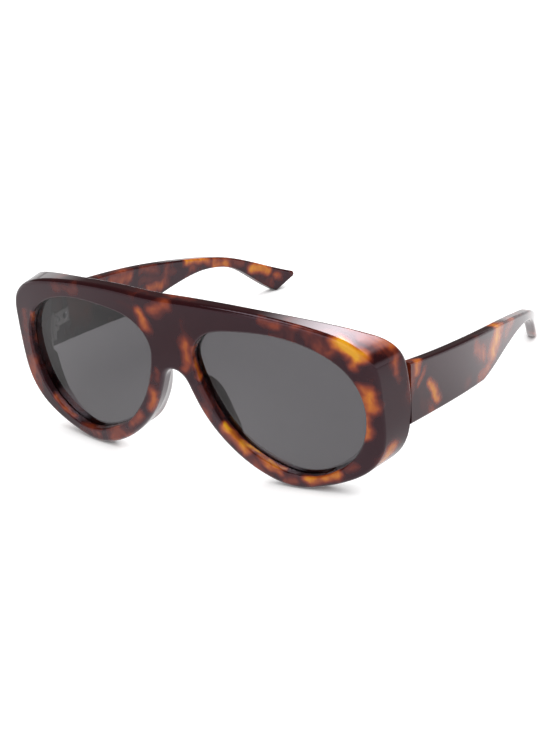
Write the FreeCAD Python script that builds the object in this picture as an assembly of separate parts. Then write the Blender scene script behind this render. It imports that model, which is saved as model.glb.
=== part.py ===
import FreeCAD, Part
import math
import os

V = FreeCAD.Vector

# Lens opening and rim widths, seen square from the front
lens_width = 56.6
lens_height = 51.4
bridge_width = 16.8
side_rim = 5.8
bottom_rim = 4.8
brow_rim = 7.6
half_width = bridge_width / 2 + lens_width + side_rim
front_height = bottom_rim + lens_height + brow_rim

# Curve, lean and depth of the front
face_radius = 258.0
front_lean_deg = 8.0
front_depth = 6.2
parting_depth = 19.2
sweep_past = 0.8
end_sweep = parting_depth + sweep_past
side_flare_share = 0.197
flare_start = 5.0
flare_power = 4
face_round = 1.5
back_round = 1.5
opening_round = 0.8
lean_share = math.tan(math.radians(front_lean_deg))

# Lens
lens_setback = 3.0
lens_thickness = 2.0
groove_depth = 0.8

# Nose pads
pad_root_depth = 4.4
pad_ridge_depth = 13.0
pad_bury = 1.2
pad_width = 3.5
pad_points = 12

# Temple
temple_reach = 139.3
temple_thickness = 4.0
temple_gap = 0.15
temple_round = 0.9
temple_corner_round = 1.2
core_start_share = 0.135
core_end_share = 0.905
core_width = 1.2
core_height = 1.4

# Hinge
hinge_inset = 2.4
hinge_drop = 1.5
knuckle_radius = 1.5
knuckle_height = 1.8
knuckle_gap = 0.1
pin_radius = 0.7
pin_clearance = 0.05
pin_head_radius = 1.25
pin_head_height = 0.7
slot_width = 0.35
slot_depth = 0.35
leaf_thickness = 1.0
web_width = 2.0
front_leaf_width = 3.8
front_leaf_height = 17.0
front_leaf_drop = 2.3
front_screw_spread = 12.6
pocket_play = 0.2
temple_leaf_start = 1.8
temple_leaf_length = 10.6
temple_leaf_height = 5.2
temple_leaf_sink = 0.7
temple_screw_near = 5.8
temple_screw_far = 10.2
screw_radius = 0.55
screw_length = 3.4
screw_head_radius = 1.05
screw_head_height = 0.5

probe_count = 7
near_zero = 0.001
front_edge_share = 4.0
knuckle_count = 5

# Space left beyond a shape where another shape cuts it
over = 8.0

# Outline of the right half of the front, top middle to nose arch: shares of half width and height
outline_shares = (
    (0.0, 0.995), (0.283, 0.999), (0.571, 0.972), (0.763, 0.929), (0.909, 0.862), (0.980, 0.780),
    (1.0, 0.627), (0.997, 0.439), (0.975, 0.274), (0.911, 0.157), (0.798, 0.074), (0.678, 0.0235),
    (0.565, 0.0), (0.452, 0.0266), (0.339, 0.094), (0.247, 0.180), (0.155, 0.306), (0.1045, 0.411),
    (0.0734, 0.502), (0.0424, 0.567), (0.0, 0.589))

# Lens outline from its nasal side round over the top: shares of lens width and height
lens_shares = (
    (0.0, 0.714), (0.025, 0.854), (0.117, 0.949), (0.276, 0.990), (0.435, 1.0), (0.611, 0.979),
    (0.770, 0.916), (0.903, 0.805), (0.977, 0.661), (1.0, 0.5), (0.979, 0.335), (0.917, 0.189),
    (0.814, 0.082), (0.700, 0.0195), (0.602, 0.0), (0.488, 0.021), (0.364, 0.082), (0.249, 0.167),
    (0.161, 0.276), (0.092, 0.399), (0.0336, 0.5545))

# Back of the front in plan: shares of half width and of the end sweep
back_shares = (
    (0.0, 0.0), (0.424, 0.065), (0.621, 0.23), (0.777, 0.445), (0.862, 0.61), (0.932, 0.79),
    (0.989, 0.90), (1.034, 0.985), (1.1, 1.1))

# Nose pad from bridge to cheek along the rim's nasal edge: shares of half width and height
pad_rim_shares = (
    (0.070, 0.545), (0.084, 0.502), (0.106, 0.437), (0.138, 0.360), (0.186, 0.276), (0.228, 0.218),
    (0.255, 0.187))
# Across the rim from that edge: shares of the pad's width
pad_across_shares = (
    (0.57, 0.20), (0.81, 0.24), (0.89, 0.38), (0.85, 0.55), (0.73, 0.69), (0.61, 0.71), (0.45, 0.60))
# Ridge from that edge: shares of the pad's width, then of the ridge's depth
pad_ridge_shares = (
    (0.57, 0.05, 0.62), (0.81, -0.09, 0.86), (0.81, -0.05, 0.97), (0.61, 0.04, 1.0),
    (0.24, 0.13, 0.97), (0.0, 0.07, 0.88), (0.02, 0.02, 0.62))

# Temple in plan, outer face: shares of reach and of half width
temple_plan_shares = (
    (0.0, 1.038), (0.185, 1.0494), (0.40, 1.041), (0.58, 1.004), (0.738, 0.955), (0.94, 0.8305),
    (1.02, 0.766))

# Temple from the side: shares of reach and of the front's height
temple_top_shares = (
    (0.0, 0.694), (0.192, 0.613), (0.365, 0.545), (0.537, 0.4655), (0.702, 0.373), (0.774, 0.323),
    (0.885, 0.210), (1.009, 0.079))
temple_corner_share = (0.379, 0.260)
temple_low_shares = (
    (0.935, -0.0029), (0.853, 0.138), (0.781, 0.251), (0.715, 0.298), (0.66, 0.315), (0.58, 0.312),
    (0.508, 0.296), (0.43, 0.271))
temple_root_low_share = 0.359
core_shares = (
    (0.243, 0.442), (0.379, 0.401), (0.508, 0.387), (0.58, 0.376), (0.66, 0.355), (0.715, 0.333),
    (0.781, 0.285), (0.853, 0.192))
core_start_height_share = 0.478
core_end_height_share = 0.118


def closed_curve(points):
    curve = Part.BSplineCurve()
    curve.interpolate(Points=points, PeriodicFlag=True)
    return Part.Wire([curve.toShape()])


def open_curve(points):
    curve = Part.BSplineCurve()
    curve.interpolate(points)
    return curve.toShape()


def line(a, b):
    return Part.makeLine(a, b)


def face_of(edges):
    return Part.Face(Part.Wire(edges))


def rounded(shape, edges, radius):
    return shape.makeFillet(radius, edges).Solids[0]


def other_side(shape):
    return shape.mirror(V(0, 0, 0), V(1, 0, 0))


def arc_depth(x):
    return face_radius - math.sqrt(face_radius ** 2 - x ** 2)


def outline_wire(y):
    right = []
    for share_x, share_z in outline_shares:
        x = share_x * half_width
        flare = side_flare_share * (y - flare_start) * share_x ** flare_power
        right.append(V(x + flare, y, share_z * front_height))
    left = [V(-p.x, p.y, p.z) for p in reversed(right[1:-1])]
    return closed_curve(right + left)


def lens_wire(grow):
    width = lens_width + 2 * grow
    height = lens_height + 2 * grow
    x0 = bridge_width / 2 - grow
    z0 = bottom_rim - grow
    points = [V(x0 + a * width, 0, z0 + b * height) for a, b in lens_shares]
    return closed_curve(points)


def lens_prism(grow):
    reach = face_radius
    face = Part.Face(lens_wire(grow))
    face.translate(V(0, -reach, 0))
    return face.extrude(V(0, 2 * reach, 0))


def leaned_slab(edges):
    face = face_of(edges)
    up = V(0, -lean_share, 1)
    face.translate(up * -over)
    return face.extrude(up * (front_height + 2 * over))


def face_arc(setback):
    x = half_width + over
    y = arc_depth(x) + setback
    return Part.Arc(V(-x, y, 0), V(0, setback, 0), V(x, y, 0)).toShape()


def front_slab():
    right = [V(a * half_width, front_depth + b * end_sweep, 0) for a, b in back_shares]
    left = [V(-p.x, p.y, 0) for p in reversed(right[1:])]
    back = open_curve(left + right)
    front = face_arc(0)
    ends = (front.Vertexes[0].Point, front.Vertexes[-1].Point)
    low = min(ends, key=lambda p: p.x)
    high = max(ends, key=lambda p: p.x)
    return leaned_slab([front, line(high, right[-1]), back, line(left[0], low)])


def lens_slab():
    front = face_arc(lens_setback)
    back = face_arc(lens_setback + lens_thickness)
    f = sorted([v.Point for v in front.Vertexes], key=lambda p: p.x)
    b = sorted([v.Point for v in back.Vertexes], key=lambda p: p.x)
    return leaned_slab([front, line(f[1], b[1]), back, line(b[0], f[0])])


def make_lens():
    return lens_prism(groove_depth).common(lens_slab()).Solids[0]


def parting_block():
    x = half_width + 2 * over
    size_y = end_sweep + over
    return Part.makeBox(2 * x, size_y, front_height + 2 * over, V(-x, parting_depth, -over))


def front_blank():
    near = outline_wire(-front_height * lean_share - over)
    far = outline_wire(parting_depth + over)
    body = Part.makeLoft([near, far], True, True)
    return body.common(front_slab()).Solids[0]


def on_leaned_face(edge, setback):
    for n in range(probe_count):
        t = edge.FirstParameter + (edge.LastParameter - edge.FirstParameter) * n / probe_count
        p = edge.valueAt(t)
        if abs(p.y + p.z * lean_share - arc_depth(p.x) - setback) > near_zero:
            return False
    return True


def front_edges(body):
    return [e for e in body.Edges if on_leaned_face(e, 0)]


def back_edges(body):
    found = []
    for e in body.Edges:
        box = e.BoundBox
        if min(box.XLength, box.YLength) > front_depth and not on_leaned_face(e, 0):
            found.append(e)
    return found


def make_front(lens, leaf, screws):
    body = front_blank().cut(parting_block()).Solids[0]
    body = rounded(body, back_edges(body), back_round)
    body = rounded(body, front_edges(body), face_round)
    opening = lens_prism(0)
    body = body.cut(opening).cut(other_side(opening)).Solids[0]
    rims = [e for e in front_edges(body) if e.Length < front_edge_share * half_width]
    body = rounded(body, rims, opening_round)
    for fitted in [lens, front_pocket(), leaf] + screws:
        body = body.cut(fitted).cut(other_side(fitted))
    return max(body.Solids, key=lambda part: part.BoundBox.XLength)


def pad_place(rim, across, depth):
    x = rim[0] * half_width + across[0] * pad_width
    z = rim[1] * front_height + across[1] * pad_width
    return V(x, depth - z * lean_share, z)


def pad_section(rim, across, ridge):
    nasal = pad_place(rim, (0, 0), pad_root_depth)
    cheek = pad_place(rim, across, pad_root_depth)
    root = (nasal + cheek) / 2
    back = pad_place(rim, ridge, ridge[2] * pad_ridge_depth) - root
    points = []
    for n in range(pad_points):
        turn = 2 * math.pi * n / pad_points
        reach = back if math.cos(turn) > 0 else back * (pad_bury / back.Length)
        points.append(root + reach * math.cos(turn) + (nasal - root) * math.sin(turn))
    return closed_curve(points)


def make_pad(front, lens):
    stations = zip(pad_rim_shares, pad_across_shares, pad_ridge_shares)
    pad = Part.makeLoft([pad_section(*station) for station in stations], True, False)
    return max(pad.cut(front).cut(lens).Solids, key=lambda part: part.Volume)


def temple_start():
    return parting_depth + temple_gap


def temple_y(share):
    return temple_start() + share * temple_reach


def plan_strip(outer_inset, inner_inset):
    outer = []
    inner = []
    for a, b in temple_plan_shares:
        outer.append(V(b * half_width - outer_inset, temple_y(a), 0))
        inner.append(V(b * half_width - inner_inset, temple_y(a), 0))
    edges = [open_curve(outer), line(outer[-1], inner[-1]), open_curve(inner), line(inner[0], outer[0])]
    strip = face_of(edges)
    strip.translate(V(0, 0, -over))
    return strip.extrude(V(0, 0, front_height + over))


def side_face(edges):
    return face_of(edges).extrude(V(2 * half_width, 0, 0))


def profile_corners(body):
    found = []
    for e in body.Edges:
        if e.BoundBox.XLength > half_width and e.BoundBox.YMin > temple_start() + over:
            found.append(e)
    return found


def temple_blank():
    top = [V(0, temple_y(a), b * front_height) for a, b in temple_top_shares]
    low = [V(0, temple_y(a), b * front_height) for a, b in temple_low_shares]
    corner = V(0, temple_y(temple_corner_share[0]), temple_corner_share[1] * front_height)
    root = V(0, temple_start(), temple_root_low_share * front_height)
    edges = [open_curve(top), line(top[-1], low[0]), open_curve(low + [corner])]
    edges = edges + [line(corner, root), line(root, top[0])]
    strip = plan_strip(0, temple_thickness)
    profile = side_face(edges)
    profile = rounded(profile, profile_corners(profile), temple_corner_round)
    return strip.common(profile).Solids[0]


def long_edges(body):
    sides = sorted(body.Faces, key=lambda face: face.Area)[-2:]
    return [e for face in sides for e in face.Edges if e.BoundBox.YLength > near_zero]


def make_temple(fitted):
    body = temple_blank()
    body = rounded(body, long_edges(body), temple_round)
    for part in fitted:
        body = body.cut(part)
    return max(body.Solids, key=lambda piece: piece.Volume)


def make_core():
    line_shares = [(core_start_share, core_start_height_share)] + list(core_shares)
    line_shares = line_shares + [(core_end_share, core_end_height_share)]
    half = core_height / 2
    top = [V(0, temple_y(a), b * front_height + half) for a, b in line_shares]
    low = [V(0, temple_y(a), b * front_height - half) for a, b in line_shares]
    edges = [open_curve(top), line(top[-1], low[-1]), open_curve(low), line(low[0], top[0])]
    middle = temple_thickness / 2
    half = core_width / 2
    strip = plan_strip(middle - half, middle + half)
    return strip.common(side_face(edges)).Solids[0]


def hinge_x():
    return temple_plan_shares[0][1] * half_width - temple_thickness - hinge_inset


def hinge_z():
    top = temple_top_shares[0][1]
    return (top + temple_root_low_share) / 2 * front_height - hinge_drop


def knuckle_base(n):
    pitch = knuckle_height + knuckle_gap
    stack = knuckle_count * pitch - knuckle_gap
    return hinge_z() - stack / 2 + n * pitch


def upright(radius, height, base_z):
    return Part.makeCylinder(radius, height, V(hinge_x(), parting_depth, base_z))


def front_leaf_back():
    return parting_depth - front_leaf_drop


def front_pocket():
    x = hinge_x() - front_leaf_width / 2
    y = front_leaf_back() - leaf_thickness
    height = front_leaf_height + 2 * pocket_play
    z = hinge_z() - height / 2
    width = front_leaf_width + pocket_play
    return Part.makeBox(width + over, end_sweep, height, V(x - over, y, z))


def make_front_leaf(pin):
    x = hinge_x() - front_leaf_width / 2
    y = front_leaf_back() - leaf_thickness
    z = hinge_z() - front_leaf_height / 2
    leaf = Part.makeBox(front_leaf_width, leaf_thickness, front_leaf_height, V(x, y, z))
    for n in range(0, knuckle_count, 2):
        base = knuckle_base(n)
        barrel = upright(knuckle_radius, knuckle_height, base)
        corner = V(hinge_x() - web_width / 2, y, base)
        web = Part.makeBox(web_width, parting_depth - y, knuckle_height, corner)
        leaf = leaf.fuse(barrel).fuse(web)
    return leaf.cut(pin).removeSplitter().Solids[0]


def temple_leaf_face():
    return hinge_x() + hinge_inset + temple_leaf_sink


def make_temple_leaf():
    outer = temple_leaf_face()
    x = outer - leaf_thickness
    y = temple_start() + temple_leaf_start
    z = hinge_z() - temple_leaf_height / 2
    leaf = Part.makeBox(leaf_thickness, temple_leaf_length, temple_leaf_height, V(x, y, z))
    for n in range(1, knuckle_count, 2):
        base = knuckle_base(n)
        barrel = upright(knuckle_radius, knuckle_height, base)
        web_y = parting_depth
        web_length = y + web_width - web_y
        web = Part.makeBox(outer - hinge_x(), web_length, knuckle_height, V(hinge_x(), web_y, base))
        leaf = leaf.fuse(barrel).fuse(web)
    bore = upright(pin_radius + pin_clearance, front_leaf_height, hinge_z() - front_leaf_height / 2)
    return leaf.cut(bore).removeSplitter().Solids[0]


def make_pin():
    top = knuckle_base(knuckle_count - 1) + knuckle_height
    base = knuckle_base(0)
    shank = upright(pin_radius, top - base, base)
    head = upright(pin_head_radius, pin_head_height, top)
    slot_z = top + pin_head_height - slot_depth
    corner = V(hinge_x() - pin_head_radius, parting_depth - slot_width / 2, slot_z)
    slot = Part.makeBox(2 * pin_head_radius, slot_width, slot_depth, corner)
    return shank.fuse(head).cut(slot).removeSplitter().Solids[0]


def leaf_screw(seat, inward):
    shank = Part.makeCylinder(screw_radius, screw_length, seat, inward)
    back = seat - inward * screw_head_height
    head = Part.makeCylinder(screw_head_radius, screw_head_height, back, inward)
    corner = V(-slot_width / 2, -screw_head_radius, 0)
    slot = Part.makeBox(slot_width, 2 * screw_head_radius, slot_depth, corner)
    turn = FreeCAD.Rotation(V(0, 0, 1), inward)
    slot.Placement = FreeCAD.Placement(back, turn).multiply(slot.Placement)
    return shank.fuse(head).cut(slot).removeSplitter().Solids[0]


def make_front_screws():
    y = front_leaf_back()
    half = front_screw_spread / 2
    return [leaf_screw(V(hinge_x(), y, hinge_z() + up), V(0, -1, 0)) for up in (-half, half)]


def make_temple_screws():
    x = temple_leaf_face() - leaf_thickness
    ys = (temple_start() + temple_screw_near, temple_start() + temple_screw_far)
    return [leaf_screw(V(x, y, hinge_z()), V(1, 0, 0)) for y in ys]


def build():
    lens = make_lens()
    pin = make_pin()
    front_screws = make_front_screws()
    temple_screws = make_temple_screws()
    front_leaf = make_front_leaf(pin)
    for screw in front_screws:
        front_leaf = front_leaf.cut(screw)
    temple_leaf = make_temple_leaf()
    for screw in temple_screws:
        temple_leaf = temple_leaf.cut(screw)
    core = make_core()
    front = make_front(lens, front_leaf, front_screws)
    pad = make_pad(front, lens)
    temple = make_temple([temple_leaf, core] + temple_screws)
    pairs = {
        "lens": lens,
        "nose_pad": pad,
        "front_hinge_leaf": front_leaf,
        "front_leaf_screws": Part.makeCompound(front_screws),
        "hinge_screw": pin,
        "temple": temple,
        "temple_core": core,
        "temple_hinge_leaf": temple_leaf,
        "temple_leaf_screws": Part.makeCompound(temple_screws),
    }
    nodes = {"front_frame": front}
    for name, shape in pairs.items():
        nodes[name + "_left"] = shape
        nodes[name + "_right"] = other_side(shape)
    return nodes


def overall_box(nodes):
    box = FreeCAD.BoundBox()
    for shape in nodes.values():
        box.add(shape.optimalBoundingBox(False, False))
    return box


def write(nodes):
    os.makedirs("parts", exist_ok=True)
    box = overall_box(nodes)
    shift = V(0, -box.Center.y, -box.ZMin)
    for name, shape in nodes.items():
        shape.translate(shift)
        shape.exportStep("parts/" + name + ".step")
    pivot = V(hinge_x(), parting_depth, hinge_z()) + shift
    print("pivot", pivot, "shift", shift, "box", box.XLength, box.YLength, box.ZLength)


write(build())
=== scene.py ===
import math

import bpy
from mathutils import Matrix, Vector


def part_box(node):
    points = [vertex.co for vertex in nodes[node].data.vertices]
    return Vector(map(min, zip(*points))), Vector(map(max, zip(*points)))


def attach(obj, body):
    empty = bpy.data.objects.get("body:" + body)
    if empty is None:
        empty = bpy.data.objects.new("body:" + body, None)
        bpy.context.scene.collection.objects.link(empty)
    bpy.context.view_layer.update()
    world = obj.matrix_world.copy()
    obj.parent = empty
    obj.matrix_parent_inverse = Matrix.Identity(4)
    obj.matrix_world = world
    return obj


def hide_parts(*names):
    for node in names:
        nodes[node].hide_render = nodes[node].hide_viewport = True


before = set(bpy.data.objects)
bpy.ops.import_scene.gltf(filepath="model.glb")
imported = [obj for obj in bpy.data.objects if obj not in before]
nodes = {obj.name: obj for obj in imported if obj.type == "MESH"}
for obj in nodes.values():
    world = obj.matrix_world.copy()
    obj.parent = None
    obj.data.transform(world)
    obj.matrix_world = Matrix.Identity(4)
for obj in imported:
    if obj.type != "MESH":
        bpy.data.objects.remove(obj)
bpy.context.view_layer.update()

MM = 0.001

# Camera where the photograph was taken from: place in metres, turns, and lens in millimetres
CAMERA_AT = Vector((0.32519, -0.53692, 0.28558))
CAMERA_AZIMUTH = math.radians(32.077)
CAMERA_ELEVATION = math.radians(23.921)
CAMERA_ROLL = math.radians(-2.74)
CAMERA_LENS = 93.28

# Floor, in metres: its own glow fades where the part stands, as a painted contact shadow, and grows far
# off
FLOOR_REACH = 4.0
FLOOR_WHITE = 0.70
FLOOR_ROUGHNESS = 0.9
FLOOR_GLOW = 0.62
CONTACT_REACH = 7.0 * MM
CONTACT_OPEN = 0.85
FAR_GLOW = 0.70
FAR_FROM = 0.4
FAR_TO = 1.4

# Bright spots of the floor that only reflections show, in metres: painted reflections, a glow that
# stands in for light
SPOT_AT = (0.005, -0.047, 0.0)
SPOT_INNER = 0.03
SPOT_OUTER = 0.10
SPOT_GLOW = 0.66
SPOT_EDGE_GLOW = 0.10
BACK_SPOT_AT = (0.082, 0.088, 0.0)
BACK_SPOT_INNER = 0.02
BACK_SPOT_OUTER = 0.11
BACK_SPOT_GLOW = 0.75

# Studio: an even fill, and for reflections a white wall with a dark gap, dark higher up
WHITE = (1.0, 1.0, 1.0, 1.0)
WORLD_FILL = 0.54
WALL_TOP = math.sin(math.radians(5.0))
DARK_FROM = math.sin(math.radians(14.0))
DARK_LEVEL = 0.12
GAP_AZIMUTH = math.radians(-27.0)
GAP_HEIGHT = math.radians(4.0)
GAP_INNER = math.cos(math.radians(9.0))
GAP_OUTER = math.cos(math.radians(15.0))

# Softboxes, in metres and watts: name, place, width, height, power, share that fades at each edge
SOFTBOXES = (
    ("softbox_back", (0.06, 0.85, 0.80), 1.25, 0.56, 23.0, 0.40),
    ("softbox_side", (0.60, 0.75, 0.80), 0.6, 0.5, 1.8, 0.40),
    ("softbox_top", (-0.16, -0.32, 1.1), 0.7, 0.7, 4.5, 0.25),
    ("panel_front", (0.30, -1.50, 0.80), 2.2, 1.3, 14.0, 0.30),
)
SOFTBOX_AIM = (0.0, 0.0, 0.03)

# In this file a noise is its scale per millimetre, its detail and, where given, its roughness.
# A range is two levels of a noise and the two values that they become.
NOISE_ROUGHNESS = 0.5
NOISE_MIDDLE = (0.5, 0.5, 0.5)

# Where a new stop of a colour ramp starts, before it gets its place
NEW_STOP_AT = 0.5

# Lens tint from its lower to its upper edge, in millimetres of height
LENS_LOW = 2.0
LENS_HIGH = 62.0
LENS_HAZE = 6.0
LENS_HAZE_NOISE = (0.05, 1.0)
LENS_IOR = 1.43
LENS_RAMP = (
    (0.0, (0.0935, 0.0895, 0.0950, 1.0)),
    (1.0, (0.0910, 0.0870, 0.0925, 1.0)),
)

# Metals: dark and bright lines of the brushed surface, and the least and most roughness
LEAF_RAMP = ((0.3, (0.44, 0.43, 0.41, 1.0)), (0.7, (0.64, 0.625, 0.60, 1.0)))
LEAF_ROUGHNESS = (0.24, 0.40)
SCREW_RAMP = ((0.3, (0.46, 0.46, 0.47, 1.0)), (0.7, (0.60, 0.60, 0.61, 1.0)))
SCREW_ROUGHNESS = (0.18, 0.30)
CORE_RAMP = ((0.3, (0.50, 0.46, 0.38, 1.0)), (0.7, (0.62, 0.57, 0.48, 1.0)))
CORE_ROUGHNESS = (0.26, 0.38)
BRUSH_STRETCH = (1.0, 1.0, 0.12)
BRUSH_NOISE = (2.2, 4.0, 0.6)
BRUSH_LEVELS = (0.25, 0.75)
BRUSH_RELIEF = 0.15
BRUSH_DEPTH = 0.02 * MM

# Leaf screws: sizes, shares of the head's radius, steps, and the ways in which they are driven
SCREW_SIZES = {
    "Head Radius": 1.02 * MM,
    "Head Height": 0.5 * MM,
    "Shank Radius": 0.49 * MM,
    "Shank Length": 3.36 * MM,
    "Thread Depth": 0.04 * MM,
    "Slot Width": 0.42 * MM,
    "Slot Depth": 0.3 * MM,
}
HEAD_PLAY = 0.03 * MM
DOME_POWER = 3.0
DOME_DROP_SHARE = 0.24
SLOT_REACH_SHARE = 2.4
THREAD_TURNS = 9
HEAD_STEPS = 9
SHANK_STEPS = 73
RING_STEPS = 40
FORWARD = (0, -1, 0)
TO_THE_LEFT = (1, 0, 0)
TO_THE_RIGHT = (-1, 0, 0)

# Shell pattern: noises that move it, with shifts in millimetres, then its clouds, silk and polish
WANDERS = ((0.10, 5.0), (0.19, 2.6), (0.30, 0.7))
WANDER_DETAIL = 2.0
CLOUD_TURN = (0.3, 0.7, 0.4)
CLOUD_STRETCH = (1.0, 1.0, 0.55)
CLOUD_NOISE = (0.085, 3.0)
CLOUD_RANGE = (0.38, 0.72, 0.04, 0.56)
SILK_NOISE = (0.24, 3.0)
SILK_RANGE = (0.25, 0.75, 0.84, 1.12)
POLISH_NOISE = (0.9, 2.0)
POLISH_RANGE = (0.2, 0.8, 0.03, 0.07)
SHELL_IOR = 1.5
SHELL_SHINE = (1.0, 0.80, 0.94, 1.0)

# How a streak fades, in shares of its radius, and how streaks run together
STREAK_CORE = 0.0
STREAK_RIM = 2.1
STREAK_BLEND = 0.16

# What a calm stretch does: the amount at which it is full, and the share of cloud left there
CALM_STRENGTH = 1.0
CALM_FULL = 0.8
CALM_CLOUD_SHARE = 0.22

# Tortoiseshell colours, dark to light, with their places on the ramp
SHELL_RAMP = (
    (0.00, (0.0100, 0.0014, 0.0034, 1.0)),
    (0.20, (0.0300, 0.0042, 0.0046, 1.0)),
    (0.38, (0.110, 0.0170, 0.0095, 1.0)),
    (0.55, (0.290, 0.0520, 0.0160, 1.0)),
    (0.70, (0.520, 0.125, 0.0170, 1.0)),
    (0.84, (0.720, 0.240, 0.0160, 1.0)),
    (1.00, (0.880, 0.420, 0.0160, 1.0)),
)

# Amber streaks in the shell, and on one lower rim a painted glow, in millimetres: both ends, radius,
# strength
AMBER_STREAKS_AND_PAINTED_GLOW = (
    # outer corner and side wall of the front, on the wearer's left
    ((59.5, -75.5, 56.5), (65.5, -73.5, 52.5), 3.0, 1.05),
    ((64.0, -73.5, 49.5), (64.5, -73.5, 51.5), 2.4, 0.70),
    ((56.0, -76.0, 53.0), (57.5, -76.0, 53.5), 2.0, 0.50),
    ((67.0, -71.5, 39.5), (66.5, -71.0, 34.0), 3.0, 0.85),
    ((66.0, -70.5, 31.5), (65.5, -69.5, 23.5), 2.0, 0.70),
    ((71.5, -62.5, 47.5), (71.5, -62.5, 45.0), 2.6, 0.60),
    ((72.0, -62.0, 42.5), (72.5, -61.0, 41.0), 2.0, 0.40),
    ((65.5, -64.0, 54.5), (69.5, -61.0, 52.0), 2.0, 0.65),
    ((70.0, -62.5, 17.0), (67.0, -63.5, 12.0), 3.4, 0.80),
    # brow and bridge
    ((35.0, -81.0, 61.5), (40.5, -80.5, 60.5), 2.0, 0.50),
    ((46.0, -79.0, 60.0), (50.5, -78.5, 59.0), 1.8, 0.50),
    ((6.5, -81.5, 49.0), (6.5, -81.0, 43.5), 3.0, 0.60),
    ((6.5, -81.0, 43.0), (5.0, -80.5, 39.0), 2.6, 0.55),
    ((9.5, -81.0, 47.5), (9.5, -80.5, 44.5), 1.6, 0.55),
    ((-10.5, -82.5, 57.0), (-8.0, -82.0, 51.0), 2.2, 0.70),
    ((-4.5, -83.0, 58.0), (0.0, -83.5, 61.5), 2.8, 0.55),
    ((-16.5, -82.5, 59.0), (-11.5, -82.5, 57.5), 2.2, 0.26),
    ((-47.0, -78.5, 57.5), (-37.0, -80.5, 60.0), 2.6, 0.36),
    # rim on the wearer's right
    ((-65.5, -72.0, 43.5), (-67.0, -71.0, 37.0), 2.2, 0.40),
    ((-65.5, -69.0, 21.0), (-64.0, -68.5, 15.0), 1.8, 0.45),
    ((-61.0, -72.0, 44.0), (-63.5, -70.0, 35.5), 1.4, 0.60),
    ((-57.5, -69.0, 12.5), (-50.0, -69.5, 7.0), 1.6, 0.70),
    ((-44.5, -71.5, 4.5), (-38.5, -72.0, 4.0), 2.4, 0.50),
    ((-30.0, -74.0, 6.0), (-26.5, -74.0, 7.5), 2.0, 0.40),
    ((-22.0, -75.5, 12.5), (-16.5, -76.5, 17.0), 2.2, 0.55),
    ((-11.5, -77.5, 21.0), (-9.5, -78.5, 27.5), 2.2, 0.65),
    ((-7.5, -79.5, 32.5), (-7.0, -79.5, 35.5), 1.8, 0.45),
    # rim on the wearer's left
    ((9.0, -80.0, 42.5), (10.0, -79.5, 36.5), 1.4, 0.75),
    ((10.5, -79.0, 32.0), (13.0, -78.0, 26.0), 2.2, 0.35),
    # amber of the lower rim, made brighter as painted glow where light shines through the acetate
    ((18.0, -76.0, 18.0), (23.5, -75.5, 12.0), 2.4, 0.85),
    ((28.5, -74.5, 9.5), (34.0, -73.5, 6.0), 2.0, 0.75),
    # painted glow: bright streaks along the lower inner wall where light shines through the acetate
    ((17.5, -75.5, 19.0), (26.5, -73.5, 10.5), 1.5, 1.00),
    ((26.5, -73.5, 10.5), (35.5, -71.5, 6.0), 1.4, 0.95),
    ((36.0, -73.0, 3.5), (39.0, -72.5, 3.5), 2.0, 0.50),
    ((44.0, -72.0, 4.0), (54.0, -70.5, 6.5), 2.2, 0.85),
    ((57.5, -70.0, 9.5), (59.5, -69.5, 11.5), 2.2, 0.45),
    # left temple
    ((73.0, -50.5, 43.5), (73.5, -52.5, 40.0), 2.4, 0.75),
    ((74.0, -47.0, 38.0), (73.5, -51.0, 35.0), 1.8, 0.55),
    ((74.0, -43.0, 32.5), (74.0, -37.5, 24.5), 2.0, 0.85),
    ((74.5, -17.5, 21.5), (74.5, -14.5, 22.0), 2.4, 0.35),
    ((74.0, -9.5, 31.5), (74.0, -2.5, 26.0), 3.2, 0.62),
    ((73.5, 2.5, 20.5), (74.0, -5.5, 19.0), 2.8, 0.60),
    ((72.5, 11.5, 30.5), (73.0, 5.5, 24.5), 4.6, 0.90),
    ((70.0, 27.5, 28.0), (72.0, 19.0, 26.0), 3.0, 0.55),
    # right temple
    ((-70.5, -16.5, 34.0), (-70.0, -5.5, 32.0), 2.6, 0.60),
    ((-69.5, 1.5, 27.0), (-67.5, 22.0, 25.0), 2.0, 0.34),
    ((-69.5, 3.0, 31.5), (-68.5, 11.0, 29.5), 2.4, 0.45),
    ((-69.0, 5.0, 23.0), (-68.5, 12.5, 22.5), 2.4, 0.65),
    ((-68.0, 16.0, 28.0), (-68.5, 15.5, 22.5), 2.6, 0.45),
    ((-66.5, 28.0, 27.0), (-65.0, 40.5, 23.5), 2.2, 0.80),
    ((-66.5, 30.0, 23.5), (-66.0, 33.0, 22.5), 1.8, 0.45),
    ((-64.0, 44.5, 21.5), (-63.0, 50.0, 18.5), 2.6, 0.75),
    ((-61.5, 55.0, 18.0), (-61.0, 58.5, 17.0), 2.0, 0.45),
    ((-59.0, 63.5, 14.0), (-57.0, 70.0, 10.5), 2.6, 0.90),
    ((-55.0, 74.0, 7.5), (-54.5, 76.5, 6.0), 2.2, 0.60),
)

# Stretches of the shell that stay dark, in millimetres: both ends, radius
SHELL_CALM = (
    ((74.2, -30.0, 34.0), (74.2, -16.0, 29.0), 11.0),
    ((71.0, -66.0, 36.0), (70.0, -64.0, 20.0), 7.0),
    ((-34.0, -80.5, 57.5), (-20.0, -82.5, 57.0), 9.0),
    ((-66.0, -73.0, 52.0), (-56.0, -77.0, 57.0), 8.0),
    ((-2.0, -82.0, 53.0), (0.0, -81.0, 42.0), 6.5),
    ((14.0, -82.5, 57.0), (28.0, -81.5, 58.0), 6.5),
    ((60.0, -74.0, 45.0), (57.0, -70.0, 18.0), 6.0),
)


def put(name, data):
    """A new object in the scene."""
    thing = bpy.data.objects.new(name, data)
    bpy.context.scene.collection.objects.link(thing)
    return thing


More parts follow.
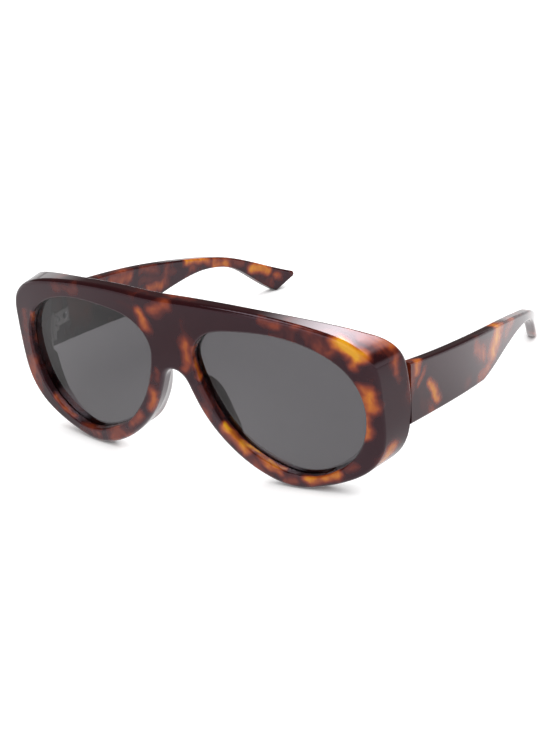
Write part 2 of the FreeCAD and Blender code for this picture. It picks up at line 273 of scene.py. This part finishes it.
def make_camera():
    back = Vector((
        math.sin(CAMERA_AZIMUTH) * math.cos(CAMERA_ELEVATION),
        -math.cos(CAMERA_AZIMUTH) * math.cos(CAMERA_ELEVATION),
        math.sin(CAMERA_ELEVATION)))
    level = Vector((math.cos(CAMERA_AZIMUTH), math.sin(CAMERA_AZIMUTH), 0.0))
    upright = back.cross(level)
    right = level * math.cos(CAMERA_ROLL) + upright * math.sin(CAMERA_ROLL)
    up = upright * math.cos(CAMERA_ROLL) - level * math.sin(CAMERA_ROLL)
    data = bpy.data.cameras.new("photo_camera")
    data.lens = CAMERA_LENS
    camera = put("photo_camera", data)
    turn = Matrix((right, up, back)).transposed().to_4x4()
    camera.matrix_world = Matrix.Translation(CAMERA_AT) @ turn
    bpy.context.scene.camera = camera


def add(tree, kind, inputs=None, **settings):
    node = tree.nodes.new(kind)
    for key, value in settings.items():
        setattr(node, key, value)
    for key, value in (inputs or {}).items():
        socket = node.inputs[key]
        if isinstance(value, bpy.types.NodeSocket):
            tree.links.new(value, socket)
        else:
            socket.default_value = value
    return node


def new_material(name):
    material = bpy.data.materials.new(name)
    material.use_nodes = True
    tree = material.node_tree
    return material, tree, tree.nodes["Principled BSDF"]


def math_node(tree, operation, a, b=0.0, c=0.0, clamp=False):
    given = {0: a, 1: b, 2: c}
    return add(tree, "ShaderNodeMath", given, operation=operation, use_clamp=clamp).outputs[0]


def vector_node(tree, operation, a, b):
    return add(tree, "ShaderNodeVectorMath", {0: a, 1: b}, operation=operation).outputs[0]


def scaled(tree, vector, scale):
    given = {0: vector, "Scale": scale}
    return add(tree, "ShaderNodeVectorMath", given, operation="SCALE").outputs[0]


def measure(tree, operation, *vectors):
    """A number worked out from vectors, such as a length."""
    given = dict(enumerate(vectors))
    return add(tree, "ShaderNodeVectorMath", given, operation=operation).outputs["Value"]


def millimetres(tree):
    place = add(tree, "ShaderNodeTexCoord")
    return scaled(tree, place.outputs["Object"], 1 / MM)


def noise(tree, place, scale, detail, rough=NOISE_ROUGHNESS):
    return add(tree, "ShaderNodeTexNoise", {
        "Vector": place, "Scale": scale, "Detail": detail, "Roughness": rough})


def spread(tree, value, low, high, to_low=0.0, to_high=1.0):
    node = add(tree, "ShaderNodeMapRange", {
        "Value": value, "From Min": low, "From Max": high, "To Min": to_low, "To Max": to_high},
        interpolation_type="SMOOTHSTEP")
    return node.outputs[0]


def choose(tree, switch, off, on):
    """The second value where the switch is 1, else the first."""
    return spread(tree, switch, 0.0, 1.0, off, on)


def seen_directly(tree, ray):
    """1 for what the camera sees, through a lens too."""
    return math_node(tree, "MAXIMUM", ray["Is Camera Ray"], ray["Is Transmission Ray"])


def ramp(tree, value, stops):
    node = add(tree, "ShaderNodeValToRGB", {0: value})
    bar = node.color_ramp
    while len(bar.elements) < len(stops):
        bar.elements.new(NEW_STOP_AT)
    for element, (place, colour) in zip(bar.elements, stops):
        element.position = place
        element.color = colour
    return node.outputs[0]


def streak_group():
    """A soft streak between two points: its strength along the middle, 0 past its rim."""
    group = bpy.data.node_groups.new("shell_streak", "ShaderNodeTree")
    for name in ("Place", "From", "To"):
        group.interface.new_socket(name, in_out="INPUT", socket_type="NodeSocketVector")
    for name in ("Radius", "Strength"):
        group.interface.new_socket(name, in_out="INPUT", socket_type="NodeSocketFloat")
    group.interface.new_socket("Amount", in_out="OUTPUT", socket_type="NodeSocketFloat")
    given = add(group, "NodeGroupInput").outputs
    result = add(group, "NodeGroupOutput")
    along = vector_node(group, "SUBTRACT", given["To"], given["From"])
    reach = vector_node(group, "SUBTRACT", given["Place"], given["From"])
    part = measure(group, "DOT_PRODUCT", reach, along)
    whole = measure(group, "DOT_PRODUCT", along, along)
    share = math_node(group, "DIVIDE", part, whole, clamp=True)
    near = scaled(group, along, share)
    apart = vector_node(group, "SUBTRACT", reach, near)
    gap = measure(group, "LENGTH", apart)
    gap = math_node(group, "DIVIDE", gap, given["Radius"])
    soft = spread(group, gap, STREAK_CORE, STREAK_RIM, 1.0, 0.0)
    amount = math_node(group, "MULTIPLY", soft, given["Strength"])
    group.links.new(amount, result.inputs["Amount"])
    return group


def gather(tree, group, place, streaks):
    """All streaks of a table run together into one soft amount."""
    total = None
    for first, last, radius, strength in streaks:
        streak = add(tree, "ShaderNodeGroup", node_tree=group)
        tree.links.new(place, streak.inputs["Place"])
        streak.inputs["From"].default_value = first
        streak.inputs["To"].default_value = last
        streak.inputs["Radius"].default_value = radius
        streak.inputs["Strength"].default_value = strength
        amount = streak.outputs["Amount"]
        if total is None:
            total = amount
        else:
            total = math_node(tree, "SMOOTH_MAX", total, amount, STREAK_BLEND)
    return total


def shift_by_noise(tree, place, source, size, amount):
    wander = noise(tree, source, size, WANDER_DETAIL).outputs["Color"]
    wander = vector_node(tree, "SUBTRACT", wander, NOISE_MIDDLE)
    return vector_node(tree, "ADD", place, scaled(tree, wander, amount))


def tortoise_acetate():
    material, tree, shader = new_material("tortoise_acetate")
    place = millimetres(tree)
    warped = place
    for size, amount in WANDERS:
        warped = shift_by_noise(tree, warped, place, size, amount)
    group = streak_group()
    # Amber streaks, with the painted glow of one lower rim among them
    streaks = gather(tree, group, warped, AMBER_STREAKS_AND_PAINTED_GLOW)
    calm = gather(tree, group, place, [(*stretch, CALM_STRENGTH) for stretch in SHELL_CALM])
    drawn = add(tree, "ShaderNodeMapping", {
        "Vector": warped, "Rotation": CLOUD_TURN, "Scale": CLOUD_STRETCH}).outputs[0]
    clouds = noise(tree, drawn, *CLOUD_NOISE).outputs["Fac"]
    clouds = spread(tree, clouds, *CLOUD_RANGE)
    quiet = spread(tree, calm, 0.0, CALM_FULL, 1.0, CALM_CLOUD_SHARE)
    clouds = math_node(tree, "MULTIPLY", clouds, quiet)
    field = math_node(tree, "SMOOTH_MAX", streaks, clouds, STREAK_BLEND)
    silk = noise(tree, drawn, *SILK_NOISE).outputs["Fac"]
    silk = spread(tree, silk, *SILK_RANGE)
    field = math_node(tree, "MULTIPLY", field, silk, clamp=True)
    tree.links.new(ramp(tree, field, SHELL_RAMP), shader.inputs["Base Color"])
    shader.inputs["IOR"].default_value = SHELL_IOR
    shader.inputs["Specular Tint"].default_value = SHELL_SHINE
    polish = noise(tree, place, *POLISH_NOISE).outputs["Fac"]
    tree.links.new(spread(tree, polish, *POLISH_RANGE), shader.inputs["Roughness"])
    return material


def smoke_lens():
    material, tree, shader = new_material("smoke_lens")
    place = millimetres(tree)
    height = add(tree, "ShaderNodeSeparateXYZ", {0: place}).outputs["Z"]
    haze = noise(tree, place, *LENS_HAZE_NOISE).outputs["Fac"]
    height = math_node(tree, "MULTIPLY_ADD", haze, LENS_HAZE, height)
    share = spread(tree, height, LENS_LOW, LENS_HIGH)
    tree.links.new(ramp(tree, share, LENS_RAMP), shader.inputs["Base Color"])
    shader.inputs["Transmission Weight"].default_value = 1.0
    shader.inputs["Roughness"].default_value = 0.0
    shader.inputs["IOR"].default_value = LENS_IOR
    return material


def brushed_metal(name, stops, roughness):
    material, tree, shader = new_material(name)
    place = millimetres(tree)
    drawn = add(tree, "ShaderNodeMapping", {"Vector": place, "Scale": BRUSH_STRETCH}).outputs[0]
    lines = noise(tree, drawn, *BRUSH_NOISE).outputs["Fac"]
    tree.links.new(ramp(tree, lines, stops), shader.inputs["Base Color"])
    tree.links.new(spread(tree, lines, *BRUSH_LEVELS, *roughness), shader.inputs["Roughness"])
    relief = add(tree, "ShaderNodeBump", {
        "Height": lines, "Strength": BRUSH_RELIEF, "Distance": BRUSH_DEPTH})
    tree.links.new(relief.outputs[0], shader.inputs["Normal"])
    shader.inputs["Metallic"].default_value = 1.0
    return material


def screw_tree(material):
    """A slotted round-head screw set on every point, its head along the point's axis."""
    tree = bpy.data.node_groups.new("leaf_screw", "GeometryNodeTree")
    tree.interface.new_socket("Geometry", in_out="INPUT", socket_type="NodeSocketGeometry")
    for name in SCREW_SIZES:
        tree.interface.new_socket(name, in_out="INPUT", socket_type="NodeSocketFloat")
    tree.interface.new_socket("Geometry", in_out="OUTPUT", socket_type="NodeSocketGeometry")
    given = add(tree, "NodeGroupInput").outputs
    result = add(tree, "NodeGroupOutput")
    share = add(tree, "GeometryNodeSplineParameter").outputs["Factor"]
    fall = math_node(tree, "POWER", share, DOME_POWER)
    fall = math_node(tree, "MULTIPLY", fall, DOME_DROP_SHARE)
    dome = math_node(tree, "MULTIPLY", given["Head Radius"], math_node(tree, "SUBTRACT", 1.0, fall))
    head = turned(tree, given["Head Height"], dome, HEAD_STEPS)
    wave = math_node(tree, "SINE", math_node(tree, "MULTIPLY", share, THREAD_TURNS * 2 * math.pi))
    groove = math_node(tree, "MULTIPLY", wave, given["Thread Depth"])
    shank = turned(tree, math_node(tree, "MULTIPLY", given["Shank Length"], -1.0),
                   math_node(tree, "ADD", given["Shank Radius"], groove), SHANK_STEPS)
    wide = math_node(tree, "MULTIPLY", given["Head Radius"], SLOT_REACH_SHARE)
    # The blade is centred on the top of the head, so only its lower half cuts
    deep = math_node(tree, "MULTIPLY", given["Slot Depth"], 2.0)
    size = add(tree, "ShaderNodeCombineXYZ", {
        "X": wide, "Y": given["Slot Width"], "Z": deep}).outputs[0]
    blade = add(tree, "GeometryNodeMeshCube", {"Size": size}).outputs["Mesh"]
    lift = add(tree, "ShaderNodeCombineXYZ", {"Z": given["Head Height"]}).outputs[0]
    blade = add(tree, "GeometryNodeTransform", {"Geometry": blade, "Translation": lift}).outputs[0]
    slotted = add(tree, "GeometryNodeMeshBoolean", {
        "Mesh 1": head, "Mesh 2": blade}, operation="DIFFERENCE")
    whole = add(tree, "GeometryNodeJoinGeometry")
    tree.links.new(slotted.outputs["Mesh"], whole.inputs[0])
    tree.links.new(shank, whole.inputs[0])
    axis = add(tree, "GeometryNodeInputNamedAttribute", {"Name": "axis"}, data_type="FLOAT_VECTOR")
    axis = axis.outputs["Attribute"]
    turn = add(tree, "FunctionNodeAlignRotationToVector", {"Vector": axis}, axis="Z")
    placed = add(tree, "GeometryNodeInstanceOnPoints", {
        "Points": given["Geometry"], "Instance": whole.outputs[0], "Rotation": turn.outputs[0]})
    real = add(tree, "GeometryNodeRealizeInstances", {0: placed.outputs[0]}).outputs[0]
    finished = add(tree, "GeometryNodeSetMaterial", {"Geometry": real, "Material": material}).outputs[0]
    tree.links.new(finished, result.inputs[0])
    return tree


def turned(tree, length, radius, steps):
    """A round body along Z whose radius follows its length."""
    end = add(tree, "ShaderNodeCombineXYZ", {"Z": length}).outputs[0]
    line = add(tree, "GeometryNodeCurvePrimitiveLine", {"End": end}).outputs["Curve"]
    line = add(tree, "GeometryNodeResampleCurve", {"Curve": line, "Count": steps}).outputs[0]
    ring = add(tree, "GeometryNodeCurvePrimitiveCircle", {
        "Resolution": RING_STEPS, "Radius": 1.0}).outputs["Curve"]
    swept = add(tree, "GeometryNodeCurveToMesh", {
        "Curve": line, "Profile Curve": ring, "Scale": radius, "Fill Caps": True})
    return swept.outputs["Mesh"]


def leaf_seats(name, inward):
    """Seats of the two screws of a leaf, from the box that its CAD node fills."""
    low, high = (Vector(corner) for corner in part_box(name))
    radius = SCREW_SIZES["Head Radius"] + HEAD_PLAY
    inward = Vector(inward)
    middle = (low + high) / 2
    reach = max(range(3), key=lambda i: (high - low)[i])
    face = middle - inward * abs((high - low).dot(inward)) / 2
    seat = face + inward * SCREW_SIZES["Head Height"]
    seats = []
    for place in (low[reach] + radius, high[reach] - radius):
        at = seat.copy()
        at[reach] = place
        seats.append((at, -inward))
    return seats


def set_screws(name, body, tree, leaves):
    """One mesh of screws for a body, in place of the plain ones."""
    seats = [seat for leaf, inward in leaves for seat in leaf_seats(leaf, inward)]
    mesh = bpy.data.meshes.new(name + "_seats")
    mesh.from_pydata([seat for seat, axis in seats], [], [])
    axes = mesh.attributes.new("axis", "FLOAT_VECTOR", "POINT")
    for held, (seat, axis) in zip(axes.data, seats):
        held.vector = axis
    holder = put(name + "_seats", mesh)
    modifier = holder.modifiers.new("screws", "NODES")
    modifier.node_group = tree
    for item in tree.interface.items_tree:
        if item.name in SCREW_SIZES:
            modifier[item.identifier] = SCREW_SIZES[item.name]
    graph = bpy.context.evaluated_depsgraph_get()
    solid = bpy.data.meshes.new_from_object(holder.evaluated_get(graph))
    bpy.data.objects.remove(holder)
    piece = put(name, solid)
    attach(piece, body)
    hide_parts(*[leaf for leaf, inward in leaves])


def dress():
    shell = tortoise_acetate()
    smoke = smoke_lens()
    leaf = brushed_metal("hinge_metal", LEAF_RAMP, LEAF_ROUGHNESS)
    screw = brushed_metal("screw_steel", SCREW_RAMP, SCREW_ROUGHNESS)
    core = brushed_metal("core_wire", CORE_RAMP, CORE_ROUGHNESS)
    for name, node in nodes.items():
        chosen = shell
        if name.startswith("lens"):
            chosen = smoke
        elif "screw" in name:
            chosen = screw
        elif "leaf" in name:
            chosen = leaf
        elif "core" in name:
            chosen = core
        node.data.materials.clear()
        node.data.materials.append(chosen)
    tree = screw_tree(screw)
    set_screws("front_screws", "front", tree, (
        ("front_leaf_screws_left", FORWARD),
        ("front_leaf_screws_right", FORWARD)))
    set_screws("temple_screws_left", "temple_left_arm", tree, (
        ("temple_leaf_screws_left", TO_THE_LEFT),))
    set_screws("temple_screws_right", "temple_right_arm", tree, (
        ("temple_leaf_screws_right", TO_THE_RIGHT),))


def floor_spot(tree, place, middle, inner, outer, glow, edge_glow):
    return spread(tree, measure(tree, "DISTANCE", place, middle), inner, outer, glow, edge_glow)


def make_floor():
    mesh = bpy.data.meshes.new("floor")
    corners = [
        (-FLOOR_REACH, -FLOOR_REACH, 0),
        (FLOOR_REACH, -FLOOR_REACH, 0),
        (FLOOR_REACH, FLOOR_REACH, 0),
        (-FLOOR_REACH, FLOOR_REACH, 0)]
    mesh.from_pydata(corners, [], [(0, 1, 2, 3)])
    floor = put("floor", mesh)
    material, tree, shader = new_material("white_floor")
    shader.inputs["Base Color"].default_value = (FLOOR_WHITE, FLOOR_WHITE, FLOOR_WHITE, 1.0)
    shader.inputs["Roughness"].default_value = FLOOR_ROUGHNESS
    shader.inputs["Specular IOR Level"].default_value = 0.0
    shader.inputs["Emission Color"].default_value = WHITE
    ray = add(tree, "ShaderNodeLightPath").outputs
    place = add(tree, "ShaderNodeTexCoord").outputs["Object"]
    # Painted reflections: floor spots that glow only for glossy rays
    under = floor_spot(tree, place, SPOT_AT, SPOT_INNER, SPOT_OUTER, SPOT_GLOW, SPOT_EDGE_GLOW)
    behind = floor_spot(
        tree, place, BACK_SPOT_AT, BACK_SPOT_INNER, BACK_SPOT_OUTER, BACK_SPOT_GLOW, 0.0)
    painted_reflection_spots = math_node(tree, "MAXIMUM", under, behind)
    glow = math_node(tree, "MULTIPLY", ray["Is Glossy Ray"], painted_reflection_spots)
    far = measure(tree, "LENGTH", place)
    white = spread(tree, far, FAR_FROM, FAR_TO, FLOOR_GLOW, FAR_GLOW)
    # Painted contact shadow: ambient occlusion dims the floor's glow near the part
    clear = add(tree, "ShaderNodeAmbientOcclusion", {"Distance": CONTACT_REACH}).outputs["AO"]
    white = math_node(tree, "MULTIPLY", white, spread(tree, clear, 0.0, CONTACT_OPEN))
    glow = choose(tree, seen_directly(tree, ray), glow, white)
    tree.links.new(glow, shader.inputs["Emission Strength"])
    mesh.materials.append(material)


def soften(data, edge_share):
    """Fade a softbox towards its edges, as a lit cloth does."""
    data.use_nodes = True
    tree = data.node_tree
    place = add(tree, "ShaderNodeNewGeometry").outputs["Parametric"]
    sides = add(tree, "ShaderNodeSeparateXYZ", {0: place}).outputs
    level = None
    for name in ("X", "Y"):
        far = math_node(tree, "SUBTRACT", 1.0, sides[name])
        edge = math_node(tree, "MINIMUM", sides[name], far)
        fade = spread(tree, edge, 0.0, edge_share)
        level = fade if level is None else math_node(tree, "MULTIPLY", level, fade)
    tree.links.new(level, tree.nodes["Emission"].inputs["Strength"])


def softbox(name, at, width, height, power, edge_share):
    data = bpy.data.lights.new(name, "AREA")
    data.shape = "RECTANGLE"
    data.size = width
    data.size_y = height
    data.energy = power
    soften(data, edge_share)
    lamp = put(name, data)
    lamp.location = at
    lamp.rotation_mode = "QUATERNION"
    lamp.rotation_quaternion = (Vector(SOFTBOX_AIM) - Vector(at)).to_track_quat("-Z", "Y")


def light_studio():
    world = bpy.data.worlds.new("studio")
    world.use_nodes = True
    bpy.context.scene.world = world
    tree = world.node_tree
    place = add(tree, "ShaderNodeTexCoord").outputs["Generated"]
    height = add(tree, "ShaderNodeSeparateXYZ", {0: place}).outputs["Z"]
    wall = spread(tree, height, WALL_TOP, DARK_FROM, 1.0, DARK_LEVEL)
    gap = measure(tree, "DOT_PRODUCT", place, (
        math.sin(GAP_AZIMUTH) * math.cos(GAP_HEIGHT),
        math.cos(GAP_AZIMUTH) * math.cos(GAP_HEIGHT),
        math.sin(GAP_HEIGHT)))
    gap = spread(tree, gap, GAP_OUTER, GAP_INNER, 1.0, DARK_LEVEL)
    wall = math_node(tree, "MINIMUM", wall, gap)
    ray = add(tree, "ShaderNodeLightPath").outputs
    level = choose(tree, ray["Is Glossy Ray"], WORLD_FILL, wall)
    level = choose(tree, seen_directly(tree, ray), level, 1.0)
    tree.links.new(level, tree.nodes["Background"].inputs["Strength"])
    tree.nodes["Background"].inputs["Color"].default_value = WHITE
    for box in SOFTBOXES:
        softbox(*box)


make_camera()
dress()
make_floor()
light_studio()
bpy.context.scene.view_settings.view_transform = "Standard"
